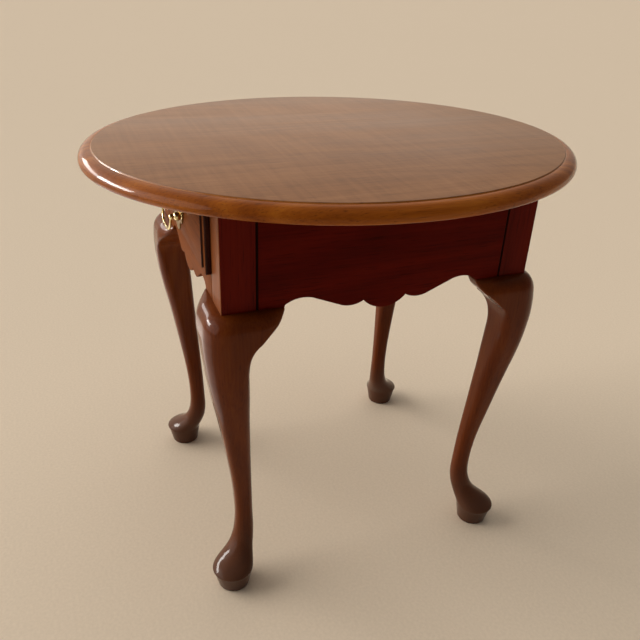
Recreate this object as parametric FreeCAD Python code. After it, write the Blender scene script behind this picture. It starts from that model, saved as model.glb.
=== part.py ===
import FreeCAD, Part
import math
import os

# Oval-topped occasional table with one lipped drawer in its end, cabriole legs and pad feet.
# Millimetres, +Z up, origin on the floor under the middle of the top, drawer facing -Y.

# Top
table_height = 576.0
top_length = 652.0
top_width = 558.0
top_thickness = 19.0
end_overhang = 123.0
side_overhang = 101.0
rim_width = 16.0
quirk_depth = 2.0
# Rim outline from the quirk outwards and down: share of the rim's width, share of the depth below the quirk
rim_shares = (
    (0.05, 0.0),
    (0.30, 0.04),
    (0.56, 0.15),
    (0.80, 0.33),
    (0.95, 0.54),
    (1.00, 0.72),
    (0.94, 0.89),
    (0.78, 1.0),
)

# Frame
post_size = 42.0
apron_thickness = 19.0
upper_rail_height = 16.0
opening_height = 75.0
rail_height = 36.0
joint_chamfer = 1.6
post_corner_round = 2.0
# The square post is drawn this far into the knee, so that the two join as one piece
post_sink = 1.5

# Mortise and tenon joints
tenon_thickness = 8.0
tenon_length = 22.0
upper_tenon_height = 8.0
upper_tenon_width = 20.0
tenon_top_margin = 14.0
tenon_low_margin = 20.0
tenon_clearance = 0.1
mortise_end_gap = 1.0

# Leg sections from the ridge of the pad foot up to the knee's shelf, each as
# share of the knee's height, then shares of half the post for the outer face, the inner face,
# the radius of the outer corner and the radius of the other corners
leg_shares = (
    (0.056, 1.88, -0.69, 1.27, 1.27),
    (0.084, 1.73, -0.80, 1.25, 1.25),
    (0.107, 1.28, -0.92, 1.08, 1.08),
    (0.128, 0.75, -0.98, 0.84, 0.84),
    (0.153, 0.46, -0.99, 0.68, 0.68),
    (0.188, 0.27, -0.99, 0.57, 0.57),
    (0.246, 0.20, -0.95, 0.49, 0.49),
    (0.326, 0.28, -0.89, 0.46, 0.46),
    (0.400, 0.45, -0.82, 0.47, 0.47),
    (0.479, 0.69, -0.74, 0.51, 0.50),
    (0.567, 0.97, -0.66, 0.59, 0.54),
    (0.651, 1.27, -0.58, 0.72, 0.58),
    (0.725, 1.57, -0.52, 0.92, 0.59),
    (0.784, 1.77, -0.46, 1.07, 0.57),
    (0.820, 1.86, -0.42, 1.16, 0.52),
    (0.846, 1.92, -0.42, 1.23, 0.44),
    (0.868, 1.96, -0.46, 1.29, 0.35),
    (0.882, 1.97, -0.53, 1.32, 0.28),
    (0.896, 1.98, -0.64, 1.35, 0.19),
    (0.907, 1.98, -0.79, 1.38, 0.10),
    (0.917, 1.98, -1.0, 1.39, 0.06),
    (0.930, 1.97, -1.3, 1.42, 0.06),
    (0.959, 1.92, -1.3, 1.45, 0.06),
    (0.978, 1.78, -1.3, 1.40, 0.06),
    (0.989, 1.59, -1.3, 1.22, 0.06),
    (0.996, 1.37, -1.3, 0.90, 0.06),
    (1.000, 1.12, -1.3, 0.36, 0.06),
)
# The pad under the ridge, as shares of half the post: outer face, inner face, corner radius
pad_base_shares = (1.68, -0.38, 1.02)
pad_waist_shares = (1.76, -0.50, 1.12)
pad_waist_height_share = 0.5

# Knee blocks
knee_block_width = 33.0
knee_block_drop = 36.0
# Share of the knee's overhang that is left at the tip of a knee block
knee_block_tip_share = 0.25
# Sawn outline of a knee block from its tip to the leg: share of its width, share of its drop
sawn_tip_shares = (1.0, 0.06)
sawn_bulge_shares = (0.84, 0.32)
sawn_turn_shares = (0.57, 0.55)
sawn_hollow_shares = (0.26, 0.77)
sawn_foot_shares = (0.0, 1.0)

# Scalloped lower edges: heights from the knee's shelf
arch_step = 2.0
arch_rise = 8.7
slope_top_rise = 4.4
slope_bottom_drop = 7.2
side_lobe_drop = 10.6
cusp_drop = 6.0
centre_lobe_drop = 19.0
# Places along a scalloped edge as shares of the way from its middle to the knee block:
# the cusp, the side lobe, the two ends of the slope and the top of the arch
long_scallop_shares = (0.22, 0.344, 0.47, 0.688, 0.828)
end_scallop_shares = (0.272, 0.427, 0.534, 0.70, 0.835)

# Drawer frame inside the aprons
runner_width = 41.0
runner_height = 19.0
guide_height = 20.0
corner_block_reach = 66.0
corner_block_gap = 3.5

# Drawer
lip_overlap = 3.5
lip_thickness = 7.0
lip_round = 2.2
lip_corner_round = 3.0
field_margin = 7.5
field_raise = 2.4
lip_gap = 0.3
drawer_side_gap = 1.2
drawer_top_gap = 3.0
drawer_bottom_gap = 0.3
front_tongue = 12.0
drawer_side_thickness = 11.0
drawer_rear_gap = 9.0
drawer_back_thickness = 11.0
drawer_back_setback = 11.0
back_dado_depth = 4.0
drawer_bottom_thickness = 5.0
drawer_bottom_height = 8.0
groove_depth = 5.0
drawer_clearance = 0.1
dovetail_count = 3
dovetail_length = 9.0
dovetail_wide_share = 0.62
dovetail_narrow_share = 0.42

# Brass pull
plate_width = 82.0
plate_height = 56.0
plate_thickness = 1.4
pull_drop = 7.0
# Half outline of the plate as arcs: the middle and end of each, as shares of half its width and height
plate_start_shares = (0.0, 0.90)
plate_arc_shares = (
    ((0.13, 0.87), (0.22, 0.74)),
    ((0.36, 0.62), (0.50, 0.70)),
    ((0.62, 0.78), (0.74, 0.66)),
    ((0.80, 0.57), (0.88, 0.54)),
    ((1.0, 0.36), (0.90, 0.14)),
    ((0.79, 0.0), (0.74, -0.20)),
    ((0.65, -0.42), (0.46, -0.46)),
    ((0.36, -0.56), (0.32, -0.72)),
    ((0.18, -0.94), (0.0, -1.0)),
)
pull_spacing = 62.0
pull_standoff = 12.5
pull_head_radius = 3.6
pull_neck_radius = 2.6
pull_ball_radius = 5.6
pull_ball_standoff = 5.4
pull_collar_radius = 4.4
pull_collar_length = 1.2
pull_shank_radius = 2.0
pull_shank_clearance = 0.1
pull_nut_radius = 4.6
pull_nut_length = 3.2
pull_shank_tail = 1.5
bail_drop = 23.5
bail_radius = 1.7
bail_inset = 6.0
bail_bend = 9.5
# Degrees that the bail leans out at rest
bail_lean = 5.3
bail_pin_radius = 1.6
bail_pin_clearance = 0.05
bail_pin_length = 8.0

# Screws
screw_radius = 2.0
screw_head_radius = 4.0
screw_head_length = 3.0
screw_clearance = 0.05
screw_head_clearance = 0.5
top_screw_bite = 11.0
top_screw_count = 3
top_screw_end = 50.0
upper_rail_screw_share = 0.59
block_screw_seat = 9.0
block_screw_bite = 11.0
block_screw_place_share = 0.27

# Cuts run past the faces they open by this much
overrun = 1.0
# Edges are picked out by where they lie to within this much
edge_tolerance = 0.05

# Places worked out from the sizes above
half_length = top_length / 2 - end_overhang
half_width = top_width / 2 - side_overhang
half_post = post_size / 2
top_underside = table_height - top_thickness
opening_top = top_underside - upper_rail_height
opening_bottom = opening_top - opening_height
knee_height = opening_bottom - rail_height
long_span = half_length - post_size
end_span = half_width - post_size
apron_inside_x = half_width - apron_thickness
apron_inside_y = half_length - apron_thickness
tenon_low = knee_height + tenon_low_margin
tenon_high = top_underside - tenon_top_margin
guide_top = opening_bottom + guide_height
drawer_half_width = end_span - drawer_side_gap
drawer_low = opening_bottom + drawer_bottom_gap
drawer_high = opening_top - drawer_top_gap
drawer_rear = apron_inside_y - corner_block_reach - drawer_rear_gap
front_face = -half_length - lip_gap - lip_thickness - field_raise
tongue_back = -half_length + front_tongue
pull_height = (opening_bottom + opening_top) / 2 - pull_drop
plate_front = front_face - plate_thickness
pivot_y = plate_front - pull_standoff
UP = FreeCAD.Vector(0, 0, 1)
ALONG_X = FreeCAD.Vector(1, 0, 0)
ALONG_Y = FreeCAD.Vector(0, 1, 0)
ALONG_Z = FreeCAD.Vector(0, 0, 1)


def vec(x, y, z):
    return FreeCAD.Vector(x, y, z)


def box(x0, x1, y0, y1, z0, z1):
    """A block between six planes, given in either order."""
    low = vec(min(x0, x1), min(y0, y1), min(z0, z1))
    return Part.makeBox(abs(x1 - x0), abs(y1 - y0), abs(z1 - z0), low)


def mirror_x(shape):
    return shape.mirror(vec(0, 0, 0), ALONG_X)


def mirror_y(shape):
    return shape.mirror(vec(0, 0, 0), ALONG_Y)


def line(a, b):
    return Part.LineSegment(a, b).toShape()


def arc(a, b, c):
    return Part.Arc(a, b, c).toShape()


def filled(edges):
    """A flat face inside edges that are given in order."""
    return Part.Face(Part.Wire(edges))


def group(shapes):
    return Part.makeCompound(shapes)


def one_solid(shape):
    """The single solid of a joined shape, without seams between flush faces."""
    clean = shape.removeSplitter()
    return clean.Solids[0]


def save(name, shape):
    shape.exportStep("parts/" + name + ".step")
    print(name, "solids", len(shape.Solids), "volume", round(shape.Volume), "valid", shape.isValid())


# Table top
def oval(grow, z):
    """Closed outline that stands outside the flat field by grow, at height z."""
    half_y = top_length / 2 - rim_width + grow
    half_x = top_width / 2 - rim_width + grow
    long_end = vec(0, half_y, z)
    wide_end = vec(half_x, 0, z)
    if half_x > half_y:
        long_end, wide_end = wide_end, long_end
    curve = Part.Ellipse(long_end, wide_end, vec(0, 0, z))
    return Part.Wire([curve.toShape()])


def table_top(screws):
    quirk_z = table_height - quirk_depth
    below = top_thickness - quirk_depth
    rings = []
    for width_share, depth_share in reversed(rim_shares):
        rings.append(oval(width_share * rim_width, quirk_z - depth_share * below))
    board = Part.makeLoft(rings, True, False)
    field = Part.Face(oval(0, quirk_z)).extrude(UP * quirk_depth)
    return one_solid(board.fuse(field)).cut(screws)


# Legs, drawn for the rear right corner about the middle of the post
def leg_section(z, outer, inner, outer_round, other_round):
    """Square section with one well rounded corner, as eight edges."""
    slant = 1 - math.sqrt(0.5)
    corners = (
        (outer, outer, -1, -1, outer_round),
        (inner, outer, 1, -1, other_round),
        (inner, inner, 1, 1, other_round),
        (outer, inner, -1, 1, other_round),
    )
    edges = []
    last = vec(outer, inner + other_round, z)
    first = last
    for index, (x, y, to_x, to_y, radius) in enumerate(corners):
        beside_x = vec(x, y + to_y * radius, z)
        beside_y = vec(x + to_x * radius, y, z)
        middle = vec(x + to_x * slant * radius, y + to_y * slant * radius, z)
        start, end = (beside_x, beside_y) if index % 2 == 0 else (beside_y, beside_x)
        edges.append(line(last, start))
        if index == len(corners) - 1:
            end = first
        edges.append(arc(start, middle, end))
        last = end
    return Part.Wire(edges)


def leg_rows():
    """Leg sections in millimetres: height, outer face, inner face and the two corner radii."""
    rows = []
    for height_share, *shares in leg_shares:
        rows.append([height_share * knee_height] + [share * half_post for share in shares])
    return rows


def upright_edges(shape, wanted):
    """Full-height edges of a post that stand where wanted(x, y) is true."""
    chosen = []
    for edge in shape.Edges:
        middle = edge.CenterOfMass
        upright = abs(edge.BoundBox.ZLength - shape.BoundBox.ZLength) < edge_tolerance
        if upright and wanted(middle.x, middle.y):
            chosen.append(edge)
    return chosen


def cabriole_leg():
    rows = leg_rows()
    limb = Part.makeLoft([leg_section(*row) for row in rows], True, False)
    ridge = rows[0]
    base = [share * half_post for share in pad_base_shares]
    waist = [share * half_post for share in pad_waist_shares]
    pad_rows = (
        [0] + base + base[-1:],
        [pad_waist_height_share * ridge[0]] + waist + waist[-1:],
        ridge,
    )
    pad = Part.makeLoft([leg_section(*row) for row in pad_rows], True, False)
    # The two sides that the knee blocks are glued to are sawn flat
    reach = 2 * post_size
    limb = limb.common(box(-half_post, reach, -half_post, reach, 0, knee_height))
    post_low = knee_height - post_sink
    post = box(-half_post, half_post, -half_post, half_post, post_low, top_underside)
    post = post.makeChamfer(joint_chamfer, upright_edges(post, lambda x, y: x * y < 0))
    post = post.makeFillet(
        post_corner_round,
        upright_edges(post, lambda x, y: x + y > post_size - edge_tolerance),
    )
    return one_solid(limb.fuse([pad, post]))


def knee_block():
    """Bracket beside the knee, under the side apron, for the rear right corner."""
    rows = [row for row in leg_rows() if row[0] > knee_height - 2 * knee_block_drop]
    back_x = half_post - apron_thickness

    def profile(along, overhang_share):
        """Closed outline across the block, with this share of the knee's overhang."""
        front_points = []
        for row in rows:
            overhang = overhang_share * (row[1] - half_post)
            front_points.append(vec(half_post + overhang, -along, row[0]))
        front = Part.BSplineCurve()
        front.interpolate(front_points)
        back_low = vec(back_x, -along, rows[0][0])
        back_high = vec(back_x, -along, knee_height)
        return Part.Wire([
            front.toShape(),
            line(front_points[-1], back_high),
            line(back_high, back_low),
            line(back_low, front_points[0]),
        ])

    def place(shares):
        return vec(back_x, -shares[0] * knee_block_width, knee_height - shares[1] * knee_block_drop)

    blank = Part.makeLoft([profile(0, 1), profile(knee_block_width, knee_block_tip_share)], True, True)
    top_tip = place((1, 0))
    top_leg = place((0, 0))
    outline = filled([
        line(top_leg, top_tip),
        line(top_tip, place(sawn_tip_shares)),
        arc(place(sawn_tip_shares), place(sawn_bulge_shares), place(sawn_turn_shares)),
        arc(place(sawn_turn_shares), place(sawn_hollow_shares), place(sawn_foot_shares)),
        line(place(sawn_foot_shares), top_leg),
    ])
    block = blank.common(outline.extrude(ALONG_X * 2 * post_size)).Solids[0]
    block.translate(vec(0, -half_post, 0))
    return block


def to_corner(shape, side, end):
    """Moves a shape drawn for the rear right corner to the corner on the given sides."""
    placed = shape.copy()
    placed.translate(vec(half_width - half_post, half_length - half_post, 0))
    if side < 0:
        placed = mirror_x(placed)
    if end < 0:
        placed = mirror_y(placed)
    return placed


# Aprons and rails
def scallop_edges(span, place_shares):
    """Lower edge from one post to the other, in the plane of X and Z."""
    tip = span - knee_block_width
    cusp_x, lobe_x, slope_low_x, slope_high_x, arch_x = [share * tip for share in place_shares]

    def right(x, rise):
        return vec(x, 0, knee_height + rise)

    def left(point):
        return vec(-point.x, 0, point.z)

    post_foot = right(span, 0)
    block_tip = right(tip, 0)
    arch_foot = right(tip, arch_step)
    arch_peak = right(arch_x, arch_rise)
    slope_top = right(slope_high_x, slope_top_rise)
    slope_bottom = right(slope_low_x, -slope_bottom_drop)
    side_lobe = right(lobe_x, -side_lobe_drop)
    cusp = right(cusp_x, -cusp_drop)
    centre = right(0, -centre_lobe_drop)
    return [
        line(post_foot, block_tip),
        line(block_tip, arch_foot),
        arc(arch_foot, arch_peak, slope_top),
        line(slope_top, slope_bottom),
        arc(slope_bottom, side_lobe, cusp),
        arc(cusp, centre, left(cusp)),
        arc(left(cusp), left(side_lobe), left(slope_bottom)),
        line(left(slope_bottom), left(slope_top)),
        arc(left(slope_top), left(arch_peak), left(arch_foot)),
        line(left(arch_foot), left(block_tip)),
        line(left(block_tip), left(post_foot)),
    ]


def scalloped_board(span, top, place_shares):
    """Board between two posts with its outer face on the plane Y = 0 and its body behind it."""
    edges = scallop_edges(span, place_shares)
    left_low = vec(-span, 0, knee_height)
    right_low = vec(span, 0, knee_height)
    left_high = vec(-span, 0, top)
    right_high = vec(span, 0, top)
    edges += [line(left_low, left_high), line(left_high, right_high), line(right_high, right_low)]
    board = filled(edges).extrude(ALONG_Y * apron_thickness)
    groove_edges = []
    for edge in board.Edges:
        middle = edge.CenterOfMass
        at_post = abs(abs(middle.x) - span) < edge_tolerance
        if at_post and abs(middle.y) < edge_tolerance and edge.BoundBox.ZLength > edge_tolerance:
            groove_edges.append(edge)
    return board.makeChamfer(joint_chamfer, groove_edges)


def tenon_pair(span, low, high, spare):
    """Tenons, or with spare room the mortises for them, at both ends of a board drawn as above."""
    middle = apron_thickness / 2
    near = middle - tenon_thickness / 2 - spare
    far = middle + tenon_thickness / 2 + spare
    end = span + tenon_length
    start = span
    if spare > 0:
        end += mortise_end_gap
        start -= overrun
    right = box(start, end, near, far, low - spare, high + spare)
    return [right, mirror_x(right)]


def turn(shape, quarter_turns, x, y):
    """Turns a board drawn along X and sets its outer face at the frame's outside."""
    placed = shape.copy()
    placed.rotate(vec(0, 0, 0), UP, 90 * quarter_turns)
    placed.translate(vec(x, y, 0))
    return placed


def build_boards():
    """The three aprons and two front rails, and every mortise that they need."""
    rail_high = opening_bottom - tenon_clearance * 2
    long_board = scalloped_board(long_span, top_underside, long_scallop_shares)
    long_board = one_solid(long_board.fuse(tenon_pair(long_span, tenon_low, tenon_high, 0)))
    end_board = scalloped_board(end_span, top_underside, end_scallop_shares)
    end_board = one_solid(end_board.fuse(tenon_pair(end_span, tenon_low, tenon_high, 0)))
    rail = scalloped_board(end_span, opening_bottom, end_scallop_shares)
    rail = one_solid(rail.fuse(tenon_pair(end_span, tenon_low, rail_high, 0)))
    long_holes = group(tenon_pair(long_span, tenon_low, tenon_high, tenon_clearance))
    end_holes = group(tenon_pair(end_span, tenon_low, tenon_high, tenon_clearance))
    rail_holes = group(tenon_pair(end_span, tenon_low, rail_high, tenon_clearance))

    upper = box(-end_span, end_span, -half_length, -long_span, opening_top, top_underside)
    tongue_mid = (opening_top + top_underside) / 2
    tongue_low = tongue_mid - upper_tenon_height / 2
    tongue_high = tongue_mid + upper_tenon_height / 2
    tongue_y = -half_length + half_post
    tongue_near = tongue_y - upper_tenon_width / 2
    tongue_far = tongue_y + upper_tenon_width / 2
    tongue_end = end_span + tenon_length / 2
    upper = upper.fuse(box(-tongue_end, tongue_end, tongue_near, tongue_far, tongue_low, tongue_high))
    spare = tenon_clearance
    upper_hole = box(
        -tongue_end - mortise_end_gap,
        tongue_end + mortise_end_gap,
        tongue_near - spare,
        tongue_far + spare,
        tongue_low - spare,
        tongue_high + spare,
    )
    boards = {
        "apron_right": turn(long_board, 1, half_width, 0),
        "apron_left": turn(long_board, -1, -half_width, 0),
        "apron_rear": turn(end_board, 2, 0, half_length),
        "drawer_rail": turn(rail, 0, 0, -half_length),
        "upper_rail": one_solid(upper),
    }
    mortises = [
        turn(long_holes, 1, half_width, 0),
        turn(long_holes, -1, -half_width, 0),
        turn(end_holes, 2, 0, half_length),
        turn(rail_holes, 0, 0, -half_length),
        upper_hole,
    ]
    return boards, mortises


# Screws
def screw(seat, direction, grip, spare):
    """Screw whose head rests on seat; with spare room, the hole that it sits in."""
    radius = screw_radius + spare
    shank = Part.makeCylinder(radius, grip + spare, seat, direction)
    head_radius = screw_head_radius
    head_length = screw_head_length
    if spare > 0:
        head_radius += screw_head_clearance
        head_length += corner_block_reach
    head = Part.makeCylinder(head_radius, head_length, seat, direction * -1)
    return shank.fuse(head).removeSplitter().Solids[0]


def top_screw_seats():
    """Undersides of the heads of the screws that hold the top down."""
    seat_z = opening_top + screw_head_length
    x = apron_inside_x - runner_width / 2
    run = 2 * (long_span - top_screw_end)
    seats = []
    for index in range(top_screw_count):
        y = -long_span + top_screw_end + run * index / (top_screw_count - 1)
        seats += [vec(x, y, seat_z), vec(-x, y, seat_z)]
    rail_y = -half_length + half_post
    rail_x = upper_rail_screw_share * end_span
    seats += [vec(rail_x, rail_y, seat_z), vec(-rail_x, rail_y, seat_z)]
    return seats


def top_screws(spare):
    grip = upper_rail_height - screw_head_length + top_screw_bite
    return group([screw(seat, UP, grip, spare) for seat in top_screw_seats()])


def block_screws(spare):
    """Two screws in each rear corner block, one into each apron."""
    place = block_screw_place_share * corner_block_reach
    z = (guide_top + opening_top) / 2
    grip = block_screw_seat + block_screw_bite
    into_side = screw(
        vec(apron_inside_x - block_screw_seat, apron_inside_y - corner_block_reach + place, z),
        ALONG_X, grip, spare,
    )
    into_rear = screw(
        vec(apron_inside_x - corner_block_reach + place, apron_inside_y - block_screw_seat, z),
        ALONG_Y, grip, spare,
    )
    right = [into_side, into_rear]
    return right + [mirror_x(item) for item in right]


# Drawer frame inside the aprons, drawn for the right side
def inner_frame(screw_holes, block_holes):
    inner_x = apron_inside_x - runner_width
    front_y = -apron_inside_y
    rear_y = apron_inside_y
    post_x = end_span
    runner_low = opening_bottom - runner_height
    runner = box(inner_x, apron_inside_x, front_y, rear_y, runner_low, opening_bottom)
    for end in (-1, 1):
        runner = runner.cut(box(
            post_x, apron_inside_x + overrun,
            end * long_span, end * (rear_y + overrun),
            runner_low - overrun, opening_bottom + overrun,
        ))
    guide = box(post_x, apron_inside_x, -long_span, long_span, opening_bottom, guide_top)
    kicker = box(inner_x, apron_inside_x, -long_span, rear_y, opening_top, top_underside)
    kicker = kicker.cut(box(
        post_x, apron_inside_x + overrun,
        long_span, rear_y + overrun,
        opening_top - overrun, top_underside + overrun,
    ))
    kicker = kicker.cut(screw_holes)
    block_low = guide_top + corner_block_gap
    block_height = opening_top - corner_block_gap - block_low
    block_points = [
        vec(apron_inside_x, rear_y - corner_block_reach, block_low),
        vec(apron_inside_x, long_span, block_low),
        vec(post_x, long_span, block_low),
        vec(post_x, rear_y, block_low),
        vec(apron_inside_x - corner_block_reach, rear_y, block_low),
    ]
    outline = Part.makePolygon(block_points + block_points[:1])
    block = Part.Face(outline).extrude(UP * block_height)
    block = block.cut(block_holes)
    return {"runner": runner, "drawer_guide": guide, "kicker": kicker, "corner_block": block}


# Drawer
def tail(index, spare):
    """One dovetail of the right drawer side, or with spare room its socket."""
    pitch = (drawer_high - drawer_low) / dovetail_count
    middle = drawer_low + pitch * (index + 0.5)
    wide = pitch * dovetail_wide_share / 2 + spare
    narrow = pitch * dovetail_narrow_share / 2 + spare
    tip_y = tongue_back - dovetail_length - spare
    x = drawer_half_width - drawer_side_thickness - spare
    points = [
        vec(x, tongue_back, middle - narrow),
        vec(x, tip_y, middle - wide),
        vec(x, tip_y, middle + wide),
        vec(x, tongue_back, middle + narrow),
    ]
    outline = Part.makePolygon(points + points[:1])
    width = drawer_side_thickness + spare * 2
    return Part.Face(outline).extrude(ALONG_X * width)


def bottom_panel(spare):
    """Drawer bottom, or with spare room the grooves that hold it."""
    half = drawer_half_width - drawer_side_thickness + groove_depth - drawer_clearance + spare
    low = drawer_low + drawer_bottom_height - spare
    high = low + drawer_bottom_thickness + spare * 2
    front_y = tongue_back - groove_depth + drawer_clearance - spare
    return box(-half, half, front_y, drawer_rear + (overrun if spare else 0), low, high)


def back_panel(spare):
    half = drawer_half_width - drawer_side_thickness + back_dado_depth - drawer_clearance + spare
    low = drawer_low + drawer_bottom_height + drawer_bottom_thickness + drawer_clearance
    high = drawer_high + (overrun if spare else 0)
    rear = drawer_rear - drawer_back_setback
    return box(-half, half, rear - drawer_back_thickness - spare, rear + spare, low, high)


def drawer_front(shank_holes):
    lip_half = end_span + lip_overlap
    lip_low = opening_bottom - lip_overlap
    lip_high = opening_top + lip_overlap
    lip_back = -half_length - lip_gap
    lip_front = lip_back - lip_thickness
    lip = box(-lip_half, lip_half, lip_front, lip_back, lip_low, lip_high)
    depth_edges = [edge for edge in lip.Edges if edge.BoundBox.YLength > edge_tolerance]
    lip = lip.makeFillet(lip_corner_round, depth_edges)
    front_edges = []
    for edge in lip.Edges:
        if abs(edge.CenterOfMass.y - lip_front) < edge_tolerance:
            front_edges.append(edge)
    lip = lip.makeFillet(lip_round, front_edges)
    field_half = lip_half - field_margin
    field_low = lip_low + field_margin
    field_high = lip_high - field_margin
    field = box(-field_half, field_half, front_face, lip_back, field_low, field_high)
    tongue = box(-drawer_half_width, drawer_half_width, lip_back, tongue_back, drawer_low, drawer_high)
    front = one_solid(lip.fuse([field, tongue]))
    for index in range(dovetail_count):
        socket = tail(index, drawer_clearance)
        front = front.cut([socket, mirror_x(socket)])
    return front.cut([bottom_panel(drawer_clearance), shank_holes])


def drawer_side():
    inner = drawer_half_width - drawer_side_thickness
    side = box(inner, drawer_half_width, tongue_back, drawer_rear, drawer_low, drawer_high)
    side = side.fuse([tail(index, 0) for index in range(dovetail_count)])
    side = one_solid(side)
    return side.cut([bottom_panel(drawer_clearance), back_panel(drawer_clearance)])


# Brass pull
def plate_outline():
    def place(shares, side):
        x = side * shares[0] * plate_width / 2
        return vec(x, front_face, pull_height + shares[1] * plate_height / 2)

    edges = []
    for side in (1, -1):
        last = place(plate_start_shares, side)
        for middle, end in plate_arc_shares:
            edges.append(arc(last, place(middle, side), place(end, side)))
            last = place(end, side)
    return filled(Part.sortEdges(edges)[0])


def shank(side, radius, start_y, end_y):
    place = vec(side * pull_spacing / 2, start_y, pull_height)
    return Part.makeCylinder(radius, end_y - start_y, place, ALONG_Y)


def pull_nut(side):
    corners = []
    for index in range(7):
        angle = math.radians(60 * index)
        x = side * pull_spacing / 2 + pull_nut_radius * math.cos(angle)
        corners.append(vec(x, tongue_back, pull_height + pull_nut_radius * math.sin(angle)))
    blank = Part.Face(Part.makePolygon(corners)).extrude(ALONG_Y * pull_nut_length)
    end = tongue_back + pull_nut_length + overrun
    return blank.cut(shank(side, pull_shank_radius + pull_shank_clearance, tongue_back - overrun, end))


def pull_post(side):
    """Round head with a cross hole for the bail, a neck, a ball, a collar and a threaded shank."""
    x = side * pull_spacing / 2
    head = Part.makeSphere(pull_head_radius, vec(x, pivot_y, pull_height))
    ball = Part.makeSphere(pull_ball_radius, vec(x, plate_front - pull_ball_standoff, pull_height))
    ball = ball.common(box(-plate_width, plate_width, pivot_y, plate_front, 0, table_height))
    neck = shank(side, pull_neck_radius, pivot_y, plate_front)
    collar = shank(side, pull_collar_radius, plate_front - pull_collar_length, plate_front)
    tail_end = tongue_back + pull_nut_length + pull_shank_tail
    body = head.fuse([neck, ball, collar, shank(side, pull_shank_radius, plate_front, tail_end)])
    hole_start = vec(x - pull_head_radius - overrun, pivot_y, pull_height)
    hole_length = 2 * (pull_head_radius + overrun)
    hole = Part.makeCylinder(bail_pin_radius + bail_pin_clearance, hole_length, hole_start, ALONG_X)
    return one_solid(body).cut(hole).Solids[0]


def bail():
    """Hanging handle: a round bar bent to a U between the two posts, with a pin out of each end."""
    limb_x = pull_spacing / 2 - bail_inset
    low_z = pull_height - bail_drop

    def at(x, z):
        return vec(x, pivot_y, z)

    def bend(corner_x, corner_z, from_x, from_z, to_x, to_z):
        """Arc that rounds a square corner, with the unit steps towards its two ends."""
        reach = bail_bend * (1 - math.sqrt(0.5))
        middle_x = corner_x + (from_x + to_x) * reach
        middle_z = corner_z + (from_z + to_z) * reach
        start = at(corner_x + from_x * bail_bend, corner_z + from_z * bail_bend)
        end = at(corner_x + to_x * bail_bend, corner_z + to_z * bail_bend)
        return start, at(middle_x, middle_z), end

    right_top = at(limb_x, pull_height + bail_radius)
    right_corner = bend(limb_x, low_z, 0, 1, -1, 0)
    left_corner = bend(-limb_x, low_z, 1, 0, 0, 1)
    left_top = at(-limb_x, pull_height + bail_radius)
    path = Part.Wire([
        line(right_top, right_corner[0]),
        arc(*right_corner),
        line(right_corner[2], left_corner[0]),
        arc(*left_corner),
        line(left_corner[2], left_top),
    ])
    ring = Part.Wire([Part.Circle(right_top, ALONG_Z, bail_radius).toShape()])
    bar = path.makePipeShell([ring], True, False)
    pins = []
    for side in (-1, 1):
        start = at(side * limb_x, pull_height)
        pins.append(Part.makeCylinder(bail_pin_radius, bail_pin_length, start, ALONG_X * side))
    hung = one_solid(bar.fuse(pins))
    hung.rotate(at(0, pull_height), ALONG_X, -bail_lean)
    return hung


# Build every piece
def main():
    os.makedirs("parts", exist_ok=True)
    top_screw_holes = top_screws(screw_clearance)
    block_screw_holes = block_screws(screw_clearance)
    save("table_top", table_top(top_screw_holes))

    boards, mortises = build_boards()
    limb = cabriole_leg()
    side_block = knee_block()
    end_block = side_block.mirror(vec(0, 0, 0), vec(1, -1, 0))
    for end, end_name in ((-1, "front"), (1, "rear")):
        for side, side_name in ((1, "right"), (-1, "left")):
            corner = end_name + "_" + side_name
            save("leg_" + corner, to_corner(limb, side, end).cut(mortises).Solids[0])
            save("knee_block_" + corner + "_side", to_corner(side_block, side, end))
            save("knee_block_" + corner + "_end", to_corner(end_block, side, end))

    for name, board in boards.items():
        if name == "upper_rail":
            board = board.cut(top_screw_holes)
        elif name.startswith("apron"):
            board = board.cut(block_screw_holes)
        save(name, board.Solids[0])

    for name, piece in inner_frame(top_screw_holes, block_screw_holes).items():
        save(name + "_right", piece.Solids[0])
        save(name + "_left", mirror_x(piece.Solids[0]))
    save("top_screws", top_screws(0))
    save("corner_block_screws", group(block_screws(0)))

    shank_end = tongue_back + overrun
    hole_radius = pull_shank_radius + pull_shank_clearance
    shank_holes = group([shank(side, hole_radius, front_face - overrun, shank_end) for side in (-1, 1)])
    save("drawer_front", drawer_front(shank_holes).Solids[0])
    right_side = drawer_side().Solids[0]
    save("drawer_side_right", right_side)
    save("drawer_side_left", mirror_x(right_side))
    save("drawer_back", back_panel(0))
    save("drawer_bottom", bottom_panel(0))

    plate = plate_outline().extrude(ALONG_Y * -plate_thickness)
    for side in (-1, 1):
        plate = plate.cut(shank(side, hole_radius, plate_front - overrun, front_face + overrun))
    save("pull_plate", plate.Solids[0])
    save("pull_post_right", pull_post(1))
    save("pull_post_left", pull_post(-1))
    save("pull_nuts", group([pull_nut(side) for side in (-1, 1)]))
    save("bail", bail())


main()
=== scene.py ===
# %% [markdown]
# This lesson dresses a small oval-topped table with cabriole legs and one drawer in its end.
# The construction model comes first, as a fixed frame in metres: it says where every board sits.
# Each visible board then gets a finished piece with eased edges, and each surface gets its own finish.

# %% Load the frame
import math

import bpy
from mathutils import Matrix, Vector


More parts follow.
